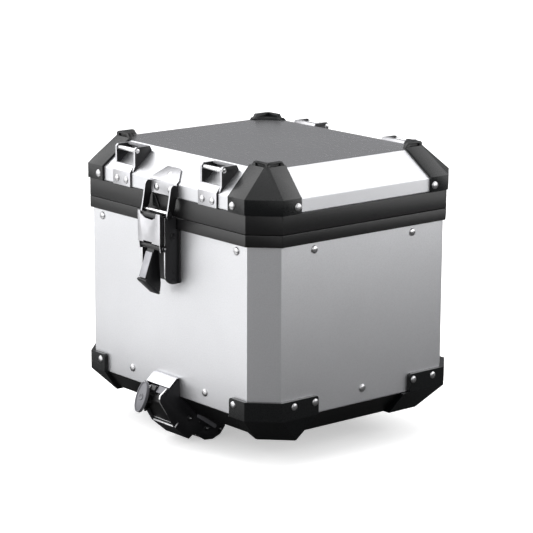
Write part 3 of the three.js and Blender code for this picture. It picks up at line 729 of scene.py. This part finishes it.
PLUNGER = (-6.6, -188.9, 10.4)
PLUNGER_AIM = (0, -0.9, 0.42)
KNOB_FOOT = Vector((-18.5, -182.5, -19.5))
KNOB_AIM = Vector((0, -0.94, -0.34))
KNOB_PROFILE = [(0, 0), (2.0, 0), (2.0, 5.0), (2.9, 5.4), (2.9, 7.6), (2.3, 8.4), (0, 8.4)]
KNOB_SCREW_HEIGHT = 8.3
CATCH_TAB_INNER = 14             # where the catch tabs start, from the middle
CHEEK_PRESS = 0.3                # how deep the trim is pressed into the cheeks
STRIP_PROUD = 1.4                # how far the guide strips stand out from them
SLOT_PROUD = 0.7


def dress_lock():
    cheek = local_box("lock_bracket")[1][0]
    inside = local_box("lock_hood")[1][0]

    add_piece("lock_cam_cover", side_slab(CAM_COVER, 4.5, inside), "grey", "root")
    add_piece("lock_plunger_housing", side_slab(PLUNGER_HOUSING, -10, 4), "black",
              "root", edge=0.6)
    add_piece("lock_plunger", moved(screw(2.0, 2.2), facing(PLUNGER_AIM, PLUNGER)), "rivet",
              "root", edge=0)

    add_piece("lock_detent_knob", moved(revolve(KNOB_PROFILE, 24), facing(KNOB_AIM, KNOB_FOOT)),
              "black", "root", edge=0)
    knob_top = KNOB_FOOT + KNOB_AIM * KNOB_SCREW_HEIGHT
    add_piece("lock_detent_screw", moved(screw(1.3, 0.7), facing(KNOB_AIM, knob_top)), "rivet",
              "root", edge=0)

    wire_x = cheek - 0.6
    wire = [(wire_x, *point) for point in MOUTH_WIRE]
    wire += [(-wire_x, *point) for point in reversed(MOUTH_WIRE)]
    add_piece("lock_mouth_wire", rod(wire, 1.3), "wire", "root", edge=0)

    def strips(side):
        outline = capsule(*GUIDE_STRIP, 2.6)
        return cheek_slab(outline, side, cheek - CHEEK_PRESS, cheek + STRIP_PROUD)

    # Black raised rings on the cheeks stand for the dark of a slot: painted shade in place of a real
    # recess.
    def slots(side):
        ends = sorted((side * (cheek - CHEEK_PRESS), side * (cheek + SLOT_PROUD)))
        return moved(hoop(capsule(*CHEEK_SLOT, 2.4), capsule(*CHEEK_SLOT, 1.5), *ends), SIDE_VIEW)

    def collars(side):
        rings = []
        for pin in ("lock_stop_pin", "lock_hook_pin"):
            _, y, z = middle_of(pin)
            rings.append(moved(collar(4.3, 1.0), on_side(side, cheek, y, z)))
        rings.append(moved(collar(3.4, 1.0), on_side(side, cheek, *HEEL_SCREW)))
        return together(rings)

    def screws(side):
        heads = [moved(screw(1.5, 0.9), on_side(side, cheek + STRIP_PROUD, y, z))
                 for y, z in GUIDE_SCREWS]
        heads.append(moved(screw(1.5, 0.9), on_side(side, cheek, *HEEL_SCREW)))
        return together(heads)

    def tabs(side):
        return cheek_slab(CATCH_TAB, side, CATCH_TAB_INNER, cheek - 0.2)

    add_piece("lock_guide_strips", both_sides(strips), "grey", "root", edge=0.4)
    add_piece("lock_cheek_slot_shade_rings", both_sides(slots), "coated", "root", edge=0)
    add_piece("lock_cheek_collars", both_sides(collars), "coated", "root", edge=0)
    add_piece("lock_cheek_screws", both_sides(screws), "rivet", "root", edge=0)
    add_piece("lock_catch_tabs", both_sides(tabs), "steel", "root", edge=0.3)


PADDLE_LEAN = math.radians(20)
PADDLE_FACE = 2                  # half of its thickness
RIM_INSETS = (0.2, 1.7)          # the rim's outer and inner edge, from the paddle's edge
RIM_HEIGHTS = (-0.2, 0.8)        # and its foot and top, from the paddle's face


def dress_paddle():
    low, high = local_box("lock_paddle")
    half_wide = (high[0] - low[0]) / 2
    upright_half = (high[2] - low[2]) / 2
    half_tall = (upright_half - PADDLE_FACE * math.sin(PADDLE_LEAN)) / math.cos(PADDLE_LEAN)
    lean = Matrix.Translation((low + high) / 2) @ Matrix.Rotation(math.pi / 2 - PADDLE_LEAN, 4, "X")
    outer, inner = (ellipse(half_wide - inset, half_tall - inset) for inset in RIM_INSETS)
    rim = hoop(outer, inner, *(PADDLE_FACE + height for height in RIM_HEIGHTS))
    add_piece("paddle_rim", moved(rim, lean), "grey", "lock_paddle", edge=0.3)
    hub = moved(collar(4.2, 1.0), lean @ Matrix.Translation((0, 0, PADDLE_FACE - 0.1)))
    add_piece("paddle_hub", hub, "grey", "lock_paddle", edge=0)


# ---- hinges --------------------------------------------------------------------------------------------

HINGE_LEAF_PROUD = 2.3           # how far a leaf stands out from the belt
HINGE_SCREWS_X = (-25, 0, 25)    # from the middle of a leaf
LID_LEAF_SCREWS_DOWN = 6.5       # from the top of the lid's leaf
BODY_LEAF_SCREWS_UP = 5.2        # from the foot of the body's leaf


def dress_hinges():
    leaf_face = local_box("body_rim")[1][1] + HINGE_LEAF_PROUD
    for hand in ("left", "right"):
        for leaf, body in (("lid", "lid"), ("body", "root")):
            low, high = local_box(f"hinge_{leaf}_leaf_{hand}")
            middle = (low[0] + high[0]) / 2
            z = high[2] - LID_LEAF_SCREWS_DOWN if leaf == "lid" else low[2] + BODY_LEAF_SCREWS_UP
            heads = [moved(screw(3.4, 1.3), facing((0, 1, 0), (middle + offset, leaf_face, z)))
                     for offset in HINGE_SCREWS_X]
            add_piece(f"hinge_{leaf}_screws_{hand}", together(heads), "coated", body, edge=0)


dress_latch()
dress_hasp()
dress_lock()
dress_paddle()
dress_hinges()

# ---- stage: floor, light -------------------------------------------------------------------------

FLOOR_HALF = 14.0
PAPER = (0.93, 0.93, 0.93)           # as the camera sees the floor, with PAPER_GLOW
PAPER_GLOW = 0.45
UNSEEN_PAPER = (0.07, 0.07, 0.07)    # as it lights the case from below
STUDIO = (0.25, 0.25, 0.255, 1.0)

# Direction towards the light, radiance, and width across the sky in degrees.
SUNS = {
    "zenith_bank": ((0, 0, 1), 0.65, 60),
    "rear_top_bank": ((-0.10, 0.66, 0.74), 0.95, 50),
    "left_top_bank": ((-0.60, -0.15, 0.78), 1.3, 50),
    "camera_side_bank": ((0.60, -0.66, 0.48), 0.6, 60),
}
# Place, width, height, and radiance.
SOFTBOXES = {
    "left_front_softbox": ((-0.60, -0.98, 0.68), 2.0, 1.3, 1.6),
    "front_fill": ((-0.55, -1.50, 0.70), 1.0, 1.1, 0.7),
    "right_rear_softbox": ((1.0, 0.70, 0.70), 1.5, 1.0, 2.05),
}


def make_floor():
    """Pale paper: brightened where the camera sees it, toned down where it lights the case."""
    corners = [(-FLOOR_HALF, -FLOOR_HALF, 0), (FLOOR_HALF, -FLOOR_HALF, 0),
               (FLOOR_HALF, FLOOR_HALF, 0), (-FLOOR_HALF, FLOOR_HALF, 0)]
    mesh = bpy.data.meshes.new("floor")
    mesh.from_pydata(corners, [], [(0, 1, 2, 3)])
    floor = bpy.data.objects.new("floor", mesh)
    bpy.context.scene.collection.objects.link(floor)
    shader = Shader("floor_paper")
    shader.set("Roughness", 0.9)
    shader.set("Specular IOR Level", 0.1)
    seen = shader.node("ShaderNodeLightPath").outputs["Is Camera Ray"]
    shader.set("Base Color", shader.mix(seen, UNSEEN_PAPER, PAPER))
    shader.set("Emission Color", (1.0, 1.0, 1.0))
    shader.set("Emission Strength", shader.math("MULTIPLY", seen, PAPER_GLOW))
    mesh.materials.append(shader.material)


def make_world():
    world = bpy.data.worlds.new("studio")
    bpy.context.scene.world = world
    world.use_nodes = True
    surface = world.node_tree.nodes["Background"]
    surface.inputs["Color"].default_value = STUDIO
    surface.inputs["Strength"].default_value = 1.0


def make_sun(name, direction, radiance, spread):
    data = bpy.data.lights.new(name, "SUN")
    data.energy = radiance
    data.angle = math.radians(spread)
    light = bpy.data.objects.new(name, data)
    light.matrix_world = Vector(direction).to_track_quat("Z", "Y").to_matrix().to_4x4()
    bpy.context.scene.collection.objects.link(light)


def make_panel_light(name, width, height, radiance, placed):
    """A rectangular light of an even radiance, in a place given as a matrix."""
    data = bpy.data.lights.new(name, "AREA")
    data.shape = "RECTANGLE"
    data.size = width
    data.size_y = height
    data.energy = radiance * math.pi * width * height
    light = bpy.data.objects.new(name, data)
    light.matrix_world = placed
    bpy.context.scene.collection.objects.link(light)
    return light


def make_softbox(name, place, width, height, radiance):
    """A light that stands upright and faces the middle of the case."""
    middle = (Vector(cad_low) + Vector(cad_high)) / 2
    away = Vector(place) - Vector((middle[0], middle[1], place[2]))
    make_panel_light(name, width, height, radiance, facing(away, place))


def make_bounce(name, place, width, depth, radiance):
    """A glowing card that lies on the floor and faces up, hidden from the camera."""
    painted_underside_shade_mask = Matrix.Translation(Vector(place)) @ Matrix.Rotation(math.pi, 4, "X")
    light = make_panel_light(name, width, depth, radiance, painted_underside_shade_mask)
    light.visible_camera = False


make_floor()
make_world()
for sun, settings in SUNS.items():
    make_sun(sun, *settings)
for softbox, settings in SOFTBOXES.items():
    make_softbox(softbox, *settings)
make_bounce("left_front_bounce", (-0.27, -0.47, 0.02), 0.8, 0.35, 1.1)

# ---- closing ---------------------------------------------------------------------------------------

bpy.context.scene.view_settings.view_transform = "Standard"
